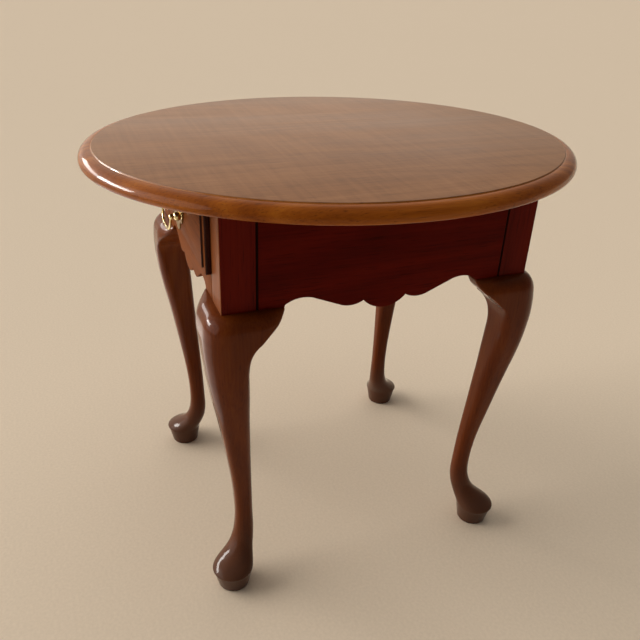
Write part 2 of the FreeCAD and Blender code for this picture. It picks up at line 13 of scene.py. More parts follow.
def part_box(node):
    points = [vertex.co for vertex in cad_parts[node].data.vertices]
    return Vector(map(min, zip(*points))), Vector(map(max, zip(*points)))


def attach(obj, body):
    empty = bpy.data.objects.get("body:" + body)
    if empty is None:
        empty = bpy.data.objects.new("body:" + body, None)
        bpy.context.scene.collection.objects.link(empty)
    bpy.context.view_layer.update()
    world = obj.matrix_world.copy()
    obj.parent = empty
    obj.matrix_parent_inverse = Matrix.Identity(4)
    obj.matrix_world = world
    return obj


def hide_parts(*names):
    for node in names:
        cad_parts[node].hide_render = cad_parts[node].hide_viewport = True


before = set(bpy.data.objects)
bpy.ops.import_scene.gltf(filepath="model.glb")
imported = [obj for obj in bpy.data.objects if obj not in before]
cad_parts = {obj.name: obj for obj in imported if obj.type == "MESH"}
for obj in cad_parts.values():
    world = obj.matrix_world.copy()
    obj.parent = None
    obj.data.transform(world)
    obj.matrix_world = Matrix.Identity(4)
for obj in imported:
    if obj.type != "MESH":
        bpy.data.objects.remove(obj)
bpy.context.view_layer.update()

# %% [markdown]
# An operator works on whatever is selected, and loading leaves the whole frame selected.
# A small helper that selects one object and makes it active keeps every later step predictable.
# A second helper hands a finished piece to the frame: which body carries it, and what it stands for.


# %% Select one object, and hand a piece over
def only(piece):
    bpy.ops.object.select_all(action="DESELECT")
    piece.select_set(True)
    bpy.context.view_layer.objects.active = piece


def hand_over(piece, body, slot, *nodes):
    only(piece)
    bpy.ops.object.transform_apply(location=True, rotation=True, scale=True)
    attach(piece, body)
    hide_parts(*nodes)


bpy.ops.object.select_all(action="DESELECT")
print("nodes in the frame:", len(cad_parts))

# %% [markdown]
# The camera stands where the picture was taken, a little above the top and off the drawer's corner.
# It was held slightly turned about its own view line, so a level look at the table is rolled afterwards.
# A lens of 38.7 mm on a 36 mm wide sensor gives the same strength of perspective.

# %% Camera
bpy.ops.object.camera_add(location=(0.8420, -0.3559, 0.7964))
camera = bpy.context.object
camera.name = "photo_camera"
aim = Vector((0.0496, -0.0311, 0.3300))
roll_degrees = 2.4786
level_look = (aim - camera.location).to_track_quat("-Z", "Y").to_matrix()
roll = Matrix.Rotation(math.radians(roll_degrees), 3, "Z")
camera.rotation_euler = (level_look @ roll).to_euler()
camera.data.sensor_width = 36.0
camera.data.lens = 38.69
bpy.context.scene.camera = camera
bpy.context.scene.view_settings.view_transform = "Standard"
print("camera looks along", [round(v, 3) for v in camera.rotation_euler])

# %% [markdown]
# Finishes are built from nodes. One helper adds a node, sets its inputs and links the sockets it is given.
# Colours are easier to judge as the numbers that an image shows, so a second helper turns
# those 0 to 255 values into the linear light that a shader works in.


# %% Node helpers
def tone(red, green, blue):
    linear = []
    for value in (red, green, blue):
        share = value / 255
        linear.append(share / 12.92 if share <= 0.04045 else ((share + 0.055) / 1.055) ** 2.4)
    return tuple(linear)


def add(tree, kind, inputs=None, **settings):
    made = tree.nodes.new("ShaderNode" + kind)
    for name, value in settings.items():
        setattr(made, name, value)
    for name, value in (inputs or {}).items():
        if isinstance(value, bpy.types.NodeSocket):
            tree.links.new(value, made.inputs[name])
        else:
            made.inputs[name].default_value = value
    return made


print("warm grey as linear light", [round(v, 3) for v in tone(203, 188, 170)])

# %% [markdown]
# Three more helpers stand for steps that every finish repeats: a ramp that turns a grey pattern into colours,
# a mix of two colours and a mix of two plain values. A Mix node keeps its sockets for values and for colours
# side by side, so the two mixes use other socket numbers of the same node.


# %% Ramps and mixes
def ramp(tree, source, stops):
    made = add(tree, "ValToRGB", {"Fac": source})
    band = made.color_ramp.elements
    band[0].position, band[0].color = stops[0][0], (*stops[0][1], 1)
    band[1].position, band[1].color = stops[-1][0], (*stops[-1][1], 1)
    for place, colour in stops[1:-1]:
        band.new(place).color = (*colour, 1)
    return made.outputs["Color"]


def blend(tree, amount, first, second, how="MIX"):
    made = add(tree, "Mix", {0: amount, 6: first, 7: second}, data_type="RGBA", blend_type=how)
    return made.outputs[2]


def blend_values(tree, amount, first, second):
    return add(tree, "Mix", {0: amount, 2: first, 3: second}, data_type="FLOAT").outputs[0]


def new_finish(name):
    material = bpy.data.materials.new(name)
    material.use_nodes = True
    tree = material.node_tree
    return material, tree, tree.nodes["Principled BSDF"]


print("materials so far", len(bpy.data.materials))

# %% [markdown]
# The floor is one wide plane in a plain pale beige. A little soft mottling keeps it from looking like paper.

# %% Floor
floor_size = 60
bpy.ops.object.select_all(action="DESELECT")
bpy.ops.mesh.primitive_plane_add(size=floor_size, location=(0, 0, 0))
floor = bpy.context.object
floor.name = "studio_floor"
floor_finish, tree, shader = new_finish("pale_floor")
place = add(tree, "TexCoord").outputs["Object"]
mottle = add(tree, "TexNoise", {"Vector": place, "Scale": 240.0, "Detail": 3.0}).outputs["Fac"]
floor_colour = ramp(tree, mottle, [(0.3, tone(222, 205, 183)), (0.7, tone(229, 212, 190))])
tree.links.new(floor_colour, shader.inputs["Base Color"])
shader.inputs["Roughness"].default_value = 0.9
shader.inputs["Specular IOR Level"].default_value = 0.1
floor.data.materials.append(floor_finish)
print("floor", tuple(floor.dimensions))

# %% [markdown]
# The light is that of a room with a wide window beyond the drawer end. Suns with a wide angle stand in for
# soft boxes, because they light the whole floor evenly: a key from the window, a ceiling fill and a little
# glow from behind. Shine is lit apart from colour, so the key and the ceiling are hidden from reflections,
# and the haze is seen in reflections only.


# %% Broad lights
def broad_light(name, towards, strength, spread, colour):
    bpy.ops.object.light_add(type="SUN", location=(0, 0, 2))
    lamp = bpy.context.object
    lamp.name = name
    lamp.rotation_euler = Vector(towards).to_track_quat("Z", "Y").to_euler()
    lamp.data.energy = strength
    lamp.data.angle = math.radians(spread)
    lamp.data.color = colour
    return lamp


sun_white, pane_white, room_white = (1.0, 0.95, 0.88), (1.0, 0.96, 0.91), (1.0, 0.96, 0.90)
key = broad_light("window_key", (-0.46, -0.84, 0.42), 2.4, 50, sun_white)
key.visible_glossy = False
haze = broad_light("window_haze", (-0.05, -0.97, 0.25), 1.4, 60, pane_white)
haze.visible_diffuse = False
ceiling = broad_light("ceiling_fill", (-0.55, -0.05, 1.0), 1.40, 105, room_white)
ceiling.visible_glossy = False
broad_light("back_glow", (-0.90, -0.05, 0.45), 0.20, 80, room_white)

# %% [markdown]
# Lacquered wood shows its roundness by what it mirrors: two window panes and a patch of sunlit floor.
# Area lights have the crisp edges that such highlights need. They are seen in reflections only,
# so they draw the lines on rim, knees and feet and change nothing else.


# %% Panels for the shine
def shine_panel(name, place, towards, width, height, power):
    bpy.ops.object.light_add(type="AREA", location=place)
    panel = bpy.context.object
    panel.name = name
    panel.rotation_euler = (Vector(place) - Vector(towards)).to_track_quat("Z", "Y").to_euler()
    panel.data.shape = "RECTANGLE"
    panel.data.size = width
    panel.data.size_y = height
    panel.data.energy = power
    panel.data.color = pane_white
    panel.visible_diffuse = False
    panel.visible_camera = False


table_middle = (0, 0, 0.35)
shine_panel("bright_pane", (-0.98, -2.15, 1.14), table_middle, 1.15, 0.48, 62.0)
shine_panel("wide_pane", (-1.94, -1.57, 1.12), table_middle, 1.35, 0.42, 14.0)
shine_panel("sunlit_floor", (-0.35, -1.30, 0.02), (-0.35, -1.30, 1.0), 1.1, 1.84, 5.7)

# %% [markdown]
# The surroundings are a room too: pale behind the table and on the window side, and dimmer in reflections
# of the side behind the camera. The camera itself sees a pale room everywhere, and a weaker tone of it
# fills the shadows. World nodes can do this because each ray says what kind it is, so no room has to be built.

# %% Surroundings
far_side = (-0.97, -0.20, 0.06)
pale_room, dim_room = (0.70, 0.60, 0.49, 1), (0.16, 0.135, 0.11, 1)
shadow_fill = (0.09, 0.085, 0.08, 1)
world = bpy.data.worlds.new("studio_room")
bpy.context.scene.world = world
world.use_nodes = True
tree = world.node_tree


def larger(tree, first, second):
    return add(tree, "Math", {0: first, 1: second}, operation="MAXIMUM").outputs[0]


facing = add(tree, "TexCoord").outputs["Generated"]
farness = add(tree, "VectorMath", {0: facing, 1: far_side}, operation="DOT_PRODUCT").outputs["Value"]
rays = add(tree, "LightPath").outputs
share = add(tree, "MapRange", {0: farness, 1: 0.0, 2: 0.9}, interpolation_type="SMOOTHSTEP").outputs[0]
room = blend(tree, larger(tree, share, rays["Is Camera Ray"]), dim_room, pale_room)
seen = larger(tree, rays["Is Camera Ray"], rays["Is Glossy Ray"])
seen = larger(tree, seen, rays["Is Transmission Ray"])
both = blend(tree, seen, shadow_fill, room)
tree.links.new(both, tree.nodes["Background"].inputs["Color"])
print("surroundings", world.name)

# %% [markdown]
# Polished wood shows four scales at once: broad streaks of tone, growth lines that run along the board,
# fine fibres, and short dark pores. Each is noise that is stretched along the board.
# Growth lines come from folding slow noise many times, which draws long contour lines as a sawn board shows.


# %% Wood patterns
def stretched(along, across_scale, along_scale):
    return tuple(along_scale if axis == along else across_scale for axis in "XYZ")


def grain_noise(tree, along, across_scale, along_scale, shift, detail):
    place = add(tree, "TexCoord").outputs["Object"]
    scale = stretched(along, across_scale, along_scale)
    moved = add(tree, "Mapping", {"Vector": place, "Scale": scale, "Location": (shift, shift * 0.7, shift * 1.3)})
    noise = add(tree, "TexNoise", {"Vector": moved.outputs[0], "Scale": 1.0, "Detail": detail})
    return noise.outputs["Fac"]


def growth_lines(tree, along, shift, count):
    slow = grain_noise(tree, along, across_scale=7.0, along_scale=0.9, shift=shift, detail=1.5)
    many = add(tree, "Math", {0: slow, 1: count}, operation="MULTIPLY").outputs[0]
    return add(tree, "Math", {0: many, 1: 1.0}, operation="PINGPONG").outputs[0]


print("streak scales along Y", stretched("Y", 20, 2))

# %% [markdown]
# The lowest part of the legs is darker and greyer, so a finish can
# fade to a dull brown towards the floor. The fade follows the height.

# %% Darker towards the floor
floor_fade_colour = (*tone(82, 60, 48), 1)


# Fades the colour to a dull grey-brown below a set height.
def floor_faded(tree, colour, amount):
    full_fade_height, no_fade_height = 0.02, 0.13
    height = add(tree, "SeparateXYZ", {0: add(tree, "TexCoord").outputs["Object"]}).outputs["Z"]
    fade_share = add(
        tree, "MapRange", {0: height, 1: no_fade_height, 2: full_fade_height, 3: 0.0, 4: amount}, interpolation_type="SMOOTHSTEP",
    )
    return blend(tree, fade_share.outputs[0], colour, floor_fade_colour)


print("dust colour", [round(v, 3) for v in floor_fade_colour])

# %% [markdown]
# The finish itself lays those patterns over each other. Broad streaks and growth lines pick a colour
# between a dark and a light tone, pores darken it, and fibres lift the surface by a hair for the bump.
# The figure is the faint ripple across the grain that a polished top shows under slanting light.


# %% Wood finish
def wood(
    name, along, tones, shift, rough, gloss, lines=0.30, pores=0.45, figure=0.0,
    coat=0.0, coat_ior=1.5, floor_fade=0.0,
):
    material, tree, shader = new_finish(name)
    dark, middle, light = (tone(*shade) for shade in tones)
    broad = grain_noise(tree, along, across_scale=16.0, along_scale=1.3, shift=shift, detail=4.0)
    fibre = grain_noise(tree, along, across_scale=420.0, along_scale=7.0, shift=shift + 3.1, detail=3.0)
    ring = growth_lines(tree, along, shift + 5.7, count=26.0)
    fibre_share = 0.38
    mixed = blend_values(tree, fibre_share, blend_values(tree, lines, broad, ring), fibre)
    if figure:
        ripple = grain_noise(tree, along, across_scale=9.0, along_scale=170.0, shift=shift + 8.3, detail=2.0)
        mixed = blend_values(tree, figure, mixed, ripple)
    colour = ramp(tree, mixed, [(0.30, dark), (0.50, middle), (0.72, light)])
    dash = grain_noise(tree, along, across_scale=800.0, along_scale=26.0, shift=shift + 1.9, detail=2.0)
    pore = ramp(tree, dash, [(0.30, (1 - pores,) * 3), (0.42, (1, 1, 1))])
    colour = blend(tree, 1.0, colour, pore, "MULTIPLY")
    if floor_fade:
        colour = floor_faded(tree, colour, floor_fade)
    tree.links.new(colour, shader.inputs["Base Color"])
    span = add(tree, "MapRange", {0: broad, 1: 0.3, 2: 0.7, 3: rough[0], 4: rough[1]})
    tree.links.new(span.outputs[0], shader.inputs["Roughness"])
    height = blend(tree, 0.6, fibre, pore)
    bump = add(tree, "Bump", {"Strength": 0.12, "Distance": 0.0004, "Height": height})
    tree.links.new(bump.outputs[0], shader.inputs["Normal"])
    shader.inputs["Specular IOR Level"].default_value = gloss
    shader.inputs["Coat Weight"].default_value = coat
    shader.inputs["Coat IOR"].default_value = coat_ior
    shader.inputs["Coat Roughness"].default_value = 0.06
    return material


print("wood finish ready")

# %% [markdown]
# The top is stained cherry, light and hazy on its broad field and warmer on the moulded rim. The quirk
# between them gets a lighter copy of the rim's wood: painted light on its small shaded step. The underside
# is dark brown: painted shade under the top. Each finish is given a dark, a middle and a light tone.
# The rim's thin coat of lacquer shines most at a slant, so it gets a low refractive index.

# %% Finishes of the top
field_wood = wood(
    "cherry_field", "Y", ((122, 79, 48), (144, 97, 61), (164, 115, 76)), 0.4,
    rough=(0.28, 0.36), lines=0.22, pores=0.30, figure=0.28, gloss=0.22, coat=0.05,
)
rim_wood = wood(
    "cherry_rim", "Y", ((130, 64, 9), (153, 81, 15), (174, 100, 26)), 2.2,
    rough=(0.40, 0.50), lines=0.45, pores=0.40, gloss=0.04, coat=0.9, coat_ior=1.25,
)
# Painted light: the quirk's wood is lighter than the rim's, to lift the shade on its small step.
lightened_quirk_wood = wood(
    "quirk_painted_light", "Y", ((150, 88, 34), (168, 102, 42), (184, 116, 54)), 4.1,
    rough=(0.35, 0.45), gloss=0.1, coat=0.6,
)
# Painted shade: the underside's dark brown stands for the shade under the top.
shaded_under_wood = wood(
    "underside_painted_shade", "Y", ((70, 40, 22), (84, 50, 28), (98, 61, 36)), 5.3,
    rough=(0.55, 0.70), pores=0.35, gloss=0.15,
)
print("finishes of the top", field_wood.name, rim_wood.name, lightened_quirk_wood.name, shaded_under_wood.name)

# %% [markdown]
# The frame is darker: warm brown on the drawer end and the legs, and a deep red copy of that wood on the long
# aprons and the sides of the posts, as painted shade of the sides away from the window. Each board gets its own
# run of grain, along its own length. The dark finishes are painted shadow in the joint grooves, and a glaze
# with painted shade on the drawer's lip.

# %% Finishes of the frame
# Painted shade: a darker, redder copy of the wood for the long aprons.
shaded_long_wood = wood(
    "apron_cherry_painted_shade", "Y", ((69, 9, 2), (84, 12, 3), (98, 18, 5)), 6.6,
    rough=(0.40, 0.50), gloss=0.02, coat=0.03,
)
end_wood = wood(
    "drawer_end_cherry", "X", ((101, 49, 9), (118, 59, 13), (132, 71, 20)), 8.9,
    rough=(0.45, 0.55), gloss=0.03,
)
# Painted shadow: a dark finish for the grooves where aprons meet posts.
joint_shadow_paint = wood(
    "joint_shadow_paint", "Z", ((30, 9, 5), (38, 12, 7), (47, 17, 10)), 7.7,
    rough=(0.60, 0.70), gloss=0.02,
)
# Glaze and painted shade: the lip's dark finish is partly a real glaze and partly the shade on its side.
lip_glaze_and_shade = wood(
    "lip_glaze_and_painted_shade", "X", ((46, 17, 9), (56, 22, 12), (66, 28, 16)), 9.4,
    rough=(0.40, 0.50), gloss=0.1, coat=0.10,
)
# Painted shade: a darker, redder copy of the post's wood for its sides away from the window.
shaded_post_wood = wood(
    "post_cherry_painted_shade", "Z", ((79, 11, 2), (95, 16, 4), (110, 23, 6)), 10.1,
    rough=(0.40, 0.50), lines=0.25, gloss=0.03, coat=0.05,
)
post_end_wood = wood(
    "post_end_cherry", "Z", ((114, 60, 27), (130, 72, 35), (145, 84, 44)), 10.7,
    rough=(0.40, 0.50), lines=0.25, gloss=0.03, coat=0.08,
)
leg_wood = wood(
    "leg_cherry", "Z", ((86, 35, 6), (104, 46, 10), (120, 58, 16)), 11.3,
    rough=(0.40, 0.50), lines=0.25, pores=0.25, gloss=0.03, coat=1.0, coat_ior=1.21, floor_fade=0.75,
)
print("cherry finishes", [m.name for m in bpy.data.materials if "cherry" in m.name])

# %% [markdown]
# Inside, a maker uses plain pale wood without stain. Boards that run from side to side show their grain
# along X and all others along Y, so nearly the same pale wood is made twice.

# %% Finishes of the inside
inner_wood = wood(
    "pale_inner_wood", "Y", ((168, 132, 92), (186, 151, 108), (201, 168, 124)), 14.2,
    rough=(0.55, 0.7), pores=0.25, gloss=0.3,
)
inner_cross_wood = wood(
    "pale_cross_wood", "X", ((166, 130, 90), (184, 149, 106), (199, 166, 122)), 16.8,
    rough=(0.55, 0.7), pores=0.25, gloss=0.3,
)
print("pale finishes", inner_wood.name, inner_cross_wood.name)

# %% [markdown]
# The pull is cast brass that has been polished and handled. Its colour wanders a little between bright
# and tarnished gold, and the tarnish is rougher. The back plate is duller, because hands polish only what
# they touch. Screws are plain steel with the same kind of speckle.


# %% Metal finishes
def metal(name, bright, dull, rough):
    material, tree, shader = new_finish(name)
    place = add(tree, "TexCoord").outputs["Object"]
    cloud = add(tree, "TexNoise", {"Vector": place, "Scale": 160.0, "Detail": 5.0}).outputs["Fac"]
    speck = add(tree, "TexNoise", {"Vector": place, "Scale": 1400.0, "Detail": 2.0}).outputs["Fac"]
    tarnish = blend_values(tree, 0.3, cloud, speck)
    colour = ramp(tree, tarnish, [(0.35, dull), (0.60, bright)])
    tree.links.new(colour, shader.inputs["Base Color"])
    span = add(tree, "MapRange", {0: tarnish, 1: 0.35, 2: 0.65, 3: rough[1], 4: rough[0]})
    tree.links.new(span.outputs[0], shader.inputs["Roughness"])
    bump = add(tree, "Bump", {"Strength": 0.05, "Distance": 0.0001, "Height": speck})
    tree.links.new(bump.outputs[0], shader.inputs["Normal"])
    shader.inputs["Metallic"].default_value = 1.0
    return material


brass = metal("polished_brass", tone(234, 218, 172), tone(200, 176, 118), (0.05, 0.14))
aged_brass = metal("aged_brass", tone(158, 126, 72), tone(116, 86, 46), (0.22, 0.34))
steel = metal("turned_steel", tone(176, 176, 172), tone(128, 127, 124), (0.28, 0.42))
print("metals", brass.name, aged_brass.name, steel.name)

# %% [markdown]
# The top is one oval board with a thumb-moulded rim: a flat field, a small step down called a quirk,
# and a rounded edge that swells out and turns under. It could be a lathe profile, but an oval is not round.
# So the rim's outline is worked out first, as pairs of how far a ring lies inside the edge and how high.

# %% Rim outline of the top
top_low, top_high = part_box("table_top")
half_x, half_y = top_high[0], top_high[1]
underside, surface = top_low[2], top_high[2]
rim_width, quirk_step = 0.016, 0.0014
nose_inset, crown_flat = 0.0035, 0.0008
nose_height = underside + 0.0048
crown_height = surface - quirk_step
rim_steps = []
for turn in range(-90, 1, 15):
    angle = math.radians(turn)
    rise = (nose_height - underside) * math.sin(angle)
    rim_steps.append((nose_inset * (1 - math.cos(angle)), nose_height + rise))
for index in range(1, 13):
    angle = math.radians(7.5 * index)
    rise = (crown_height - nose_height) * math.sin(angle)
    rim_steps.append(((rim_width - crown_flat) * (1 - math.cos(angle)), nose_height + rise))
rim_steps.append((rim_width, crown_height - 0.0002))
for past_rim, below in ((0.0006, 0.0007), (0.0010, 0.0002), (0.0018, 0.0)):
    rim_steps.append((rim_width + past_rim, surface - below))
print("rings in the rim", len(rim_steps), "rise", round(surface - underside, 4))

# %% [markdown]
# Shaping a mesh by hand happens in edit mode. One helper opens it with everything selected. A second one
# turns all faces outwards, which a filled or extruded shape needs before it is shaded, and leaves edit mode.


# %% Open and close edit mode
def edit_all():
    bpy.ops.object.mode_set(mode="EDIT")
    bpy.ops.mesh.select_all(action="SELECT")


def close_up():
    bpy.ops.mesh.select_all(action="SELECT")
    bpy.ops.mesh.normals_make_consistent(inside=False)
    bpy.ops.object.mode_set(mode="OBJECT")


print("mode", bpy.context.mode)

# %% [markdown]
# A filled circle is stretched to an oval and extruded upwards, ring by ring, and each ring is resized
# to the rim's outline. Extruding keeps the rings joined, and resizing about the middle keeps them oval.

# %% Oval top
bpy.ops.object.select_all(action="DESELECT")
bpy.ops.mesh.primitive_circle_add(vertices=256, radius=1.0, fill_type="NGON", location=(0, 0, 0))
top = bpy.context.object
top.name = "oval_top"
edit_all()
reach = (1.0, 1.0)
level = 0.0
for index, (inset, height) in enumerate(rim_steps):
    if index == 0:
        bpy.ops.transform.translate(value=(0, 0, height))
    else:
        bpy.ops.mesh.extrude_region_move(TRANSFORM_OT_translate={"value": (0, 0, height - level)})
    wanted = (half_x - inset, half_y - inset)
    growth = (wanted[0] / reach[0], wanted[1] / reach[1], 1)
    bpy.ops.transform.resize(value=growth, center_override=(0, 0, height))
    reach, level = wanted, height
close_up()
bpy.ops.object.shade_smooth_by_angle(angle=math.radians(35))
print("oval top", len(top.data.polygons), "faces", [round(v, 4) for v in top.dimensions])

# %% [markdown]
# Field, rim, quirk and underside are one board with four finishes. Each face gets its finish by its place:
# what looks down is underside, what lies at full height is field, and the thin ring beside it is the quirk.

# %% Finish of the top
field_index, rim_index, quirk_index, under_index = range(4)
for finish in (field_wood, rim_wood, lightened_quirk_wood, shaded_under_wood):
    top.data.materials.append(finish)
field_depth, quirk_edge = 0.0006, 1.004
for face in top.data.polygons:
    across, along = face.center.x / (half_x - rim_width), face.center.y / (half_y - rim_width)
    if face.normal.z < -0.99:
        face.material_index = under_index
    elif face.center.z > surface - field_depth:
        face.material_index = field_index
    elif across ** 2 + along ** 2 < quirk_edge:
        face.material_index = quirk_index
    else:
        face.material_index = rim_index
hand_over(top, "frame", "top_wood", "table_top")
print("faces in the quirk", sum(face.material_index == quirk_index for face in top.data.polygons))

# %% [markdown]
# Aprons, rails, posts and drawer boards are already shaped in the construction model, but sawn wood never has
# knife edges. A copy of a board's mesh is merged into one skin. Where an ease is asked for, flat faces are
# joined up and every sharp edge is rounded by a small bevel. Then curves are shaded smooth and true corners
# stay crisp. A copy keeps the board's exact size and place, which a new shape would have to repeat.


# %% Eased copy of a board
def eased_copy(node, name, finish, ease=0.0):
    piece = bpy.data.objects.new(name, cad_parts[node].data.copy())
    bpy.context.collection.objects.link(piece)
    only(piece)
    edit_all()
    bpy.ops.mesh.remove_doubles(threshold=0.00002)
    if ease:
        bpy.ops.mesh.dissolve_limited(angle_limit=math.radians(0.3))
    bpy.ops.object.mode_set(mode="OBJECT")
    bpy.ops.mesh.customdata_custom_splitnormals_clear()
    if ease:
        bevel = piece.modifiers.new("eased_edges", "BEVEL")
        bevel.width = ease
        bevel.segments = 3
        bevel.limit_method = "ANGLE"
        bevel.angle_limit = math.radians(35)
        bpy.ops.object.modifier_apply(modifier=bevel.name)
    bpy.ops.object.shade_smooth_by_angle(angle=math.radians(40))
    piece.data.materials.clear()
    piece.data.materials.append(finish)
    return piece


print("legs to dress", [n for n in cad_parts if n.startswith("leg_")])

# %% [markdown]
# The four cabriole legs are carved from square posts: a knee that swells out under a shelf, a slim ankle,
# and a round pad foot with a fine ledge. Their section changes all the way down, from a square with one round
# corner to a disc, so no extrusion fits. Instead the section is drawn at many heights, from the floor up.
# Each row holds the height, the outer and inner face and two corner radii, as shares of knee height and half post.
# Pad and limb are two lists, so that the smooth line breaks between them and the ledge stays crisp.

# %% Sections of a leg
pad_rows = (
    (0.0, 1.70, -0.38, 1.04, 1.04), (0.031, 1.85, -0.49, 1.17, 1.17), (0.060, 1.98, -0.60, 1.29, 1.29),
)
limb_rows = (
    (0.064, 2.05, -0.61, 1.33, 1.33), (0.070, 2.01, -0.64, 1.325, 1.325), (0.082, 1.76, -0.69, 1.225, 1.225),
    (0.098, 1.32, -0.76, 1.04, 1.04), (0.119, 0.85, -0.84, 0.845, 0.845), (0.147, 0.50, -0.94, 0.70, 0.70),
    (0.188, 0.27, -0.99, 0.57, 0.57), (0.246, 0.20, -0.95, 0.49, 0.49), (0.326, 0.28, -0.89, 0.46, 0.46),
    (0.400, 0.45, -0.82, 0.47, 0.47), (0.479, 0.69, -0.74, 0.51, 0.50), (0.567, 0.97, -0.66, 0.59, 0.54),
    (0.651, 1.27, -0.58, 0.72, 0.58), (0.725, 1.57, -0.52, 0.92, 0.59), (0.784, 1.77, -0.46, 1.07, 0.57),
    (0.820, 1.86, -0.42, 1.16, 0.52), (0.846, 1.92, -0.42, 1.23, 0.44), (0.868, 1.96, -0.46, 1.29, 0.35),
    (0.882, 1.97, -0.53, 1.32, 0.28), (0.896, 1.98, -0.64, 1.35, 0.19), (0.907, 1.98, -0.79, 1.38, 0.10),
    (0.917, 1.98, -1.0, 1.39, 0.06), (0.930, 1.97, -1.3, 1.42, 0.06), (0.959, 1.92, -1.3, 1.45, 0.06),
    (0.978, 1.78, -1.3, 1.40, 0.06), (0.989, 1.59, -1.3, 1.22, 0.06), (0.996, 1.37, -1.3, 0.90, 0.06),
    (1.000, 1.12, -1.3, 0.36, 0.06),
)


def flowing(rows, steps):
    """Rows in between, on a smooth line through the given ones."""
    made = []
    for index in range(len(rows) - 1):
        near = [rows[min(max(index + offset, 0), len(rows) - 1)] for offset in (-1, 0, 1, 2)]
        for step in range(steps):
            t = step / steps
            made.append([
                b + 0.5 * t * (c - a + t * (2 * a - 5 * b + 4 * c - d + t * (3 * b - a - 3 * c + d)))
                for a, b, c, d in zip(*near)
            ])
    return made + [list(rows[-1])]


leg_rings = flowing(pad_rows, 6) + flowing(limb_rows, 6)
print("rings on a leg", len(leg_rings))

# %% [markdown]
# A row becomes a ring of points: four corners, each a quarter of a circle with its own radius. The ring is
# placed by the frame, so the knee meets the posts and blocks exactly where the construction model has them.

# %% One ring of a leg
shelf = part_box("knee_block_front_right_side")[1][2]
half_post = 0.021
post_inner_y = -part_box("knee_block_front_right_side")[0][1]
post_inner_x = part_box("knee_block_front_right_end")[1][0]
quarter_steps = 12


def leg_ring(row, side_x, side_y):
    height, outer, inner, outer_round, other_round = row
    rounded = (
        (outer, outer, outer_round), (inner, outer, other_round),
        (inner, inner, other_round), (outer, inner, other_round),
    )
    ring = []
    for quarter, (x, y, radius) in enumerate(rounded):
        middle_x = x - radius if x == outer else x + radius
        middle_y = y - radius if y == outer else y + radius
        for step in range(quarter_steps + 1):
            angle = math.radians(90 * quarter + 90 / quarter_steps * step)
            across = max(middle_x + radius * math.cos(angle), -1) * half_post + post_inner_x + half_post
            along = max(middle_y + radius * math.sin(angle), -1) * half_post + post_inner_y + half_post
            ring.append((side_x * across, side_y * along, height * shelf))
    return ring


print("knee shelf at", round(shelf, 4), "posts inside", post_inner_x, post_inner_y)

# %% [markdown]
# A skin is laid over the rings: each point is joined to its neighbour and to the ring above, and the first
# and last ring are closed. Where a radius is small, points of a ring fall together, so doubles are merged.


# %% Skin over the sections
def leg_skin(name, side_x, side_y):
    rings = [leg_ring(row, side_x, side_y) for row in leg_rings]
    count = len(rings[0])
    points = [point for ring in rings for point in ring]
    faces = [list(range(count)), list(range(len(points) - count, len(points)))]
    for level in range(len(rings) - 1):
        for index in range(count):
            after = (index + 1) % count
            low, high = level * count, (level + 1) * count
            faces.append((low + index, low + after, high + after, high + index))
    skin = bpy.data.meshes.new(name)
    skin.from_pydata(points, [], faces)
    limb = bpy.data.objects.new(name, skin)
    bpy.context.collection.objects.link(limb)
    only(limb)
    edit_all()
    bpy.ops.mesh.remove_doubles(threshold=0.00001)
    close_up()
    limb.data.materials.append(leg_wood)
    return limb


print("points in a ring", len(leg_ring(leg_rings[0], 1, 1)))

# %% [markdown]
# Above the knee the leg stays a square post, which keeps its crisp sawn edges.
# It is the upper part of the construction leg, cut off level and sunk a little into the knee.
# Its faces towards the aprons get the dark joint finish, painted shadow in that groove. Its other faces get
# a darker, redder copy of the wood as painted shade, and its face at the table's end keeps the browner wood, like
# the drawer beside it.


# %% Post above the knee
def square_post(corner, side_x, side_y):
    cut_height, sunk = shelf + 0.0002, 0.003
    end_index, groove_shadow_index = 1, 2
    post = eased_copy("leg_" + corner, "post_" + corner, shaded_post_wood)
    edit_all()
    bpy.ops.mesh.bisect(plane_co=(0, 0, cut_height), plane_no=(0, 0, 1), use_fill=True, clear_inner=True)
    bpy.ops.mesh.extrude_region_move(TRANSFORM_OT_translate={"value": (0, 0, -sunk)})
    close_up()
    post.data.materials.append(post_end_wood)
    post.data.materials.append(joint_shadow_paint)
    # Painted shade: inward faces get the joint's painted shadow, the end face the browner wood.
    for face in post.data.polygons:
        out_x, out_y = face.normal.x * side_x, face.normal.y * side_y
        if min(out_x, out_y) < -0.3:
            face.material_index = groove_shadow_index
        elif out_y > 0.7:
            face.material_index = end_index
    bpy.ops.object.shade_smooth_by_angle(angle=math.radians(30))
    return post


# %% [markdown]
# A bracket is glued to each side of the knee. The sawn blank tapers straight, but a carver leaves the front
# full and turns it in to the board only near the tip. So each point that stands proud of the boards
# is moved out from the straight taper to that fuller line.

# %% Fuller brackets
bracket_length = 0.033
sawn_taper, tip_turn, tip_bend = 0.75, 1.6, 0.53


def ease_in(value, start, end):
    share = min(max((value - start) / (end - start), 0.0), 1.0)
    return share * share * (3 - 2 * share)


def fill_out(point, side_x, side_y):
    outside = (post_inner_x + 2 * half_post, post_inner_y + 2 * half_post)
    inside = (post_inner_x, post_inner_y)
    for axis, side in ((0, side_x), (1, side_y)):
        proud = point.co[axis] * side - outside[axis]
        share = (inside[1 - axis] - abs(point.co[1 - axis])) / bracket_length
        if proud > 0 and share > 0:
            carved = max(1 - share ** tip_turn, 0.0) ** tip_bend
            sawn = max(1 - sawn_taper * share, 1 - sawn_taper)
            point.co[axis] = side * (outside[axis] + proud * carved / sawn)


print("a bracket is", bracket_length, "long")

# %% [markdown]
# A carver finishes a leg with files and paper, which take down every small step. A Smooth modifier does the
# same to a mesh. Two vertex groups say where it works: most where the knee stands proud of the aprons,
# and hardly at all on the foot's pad, so that its ledge stays.

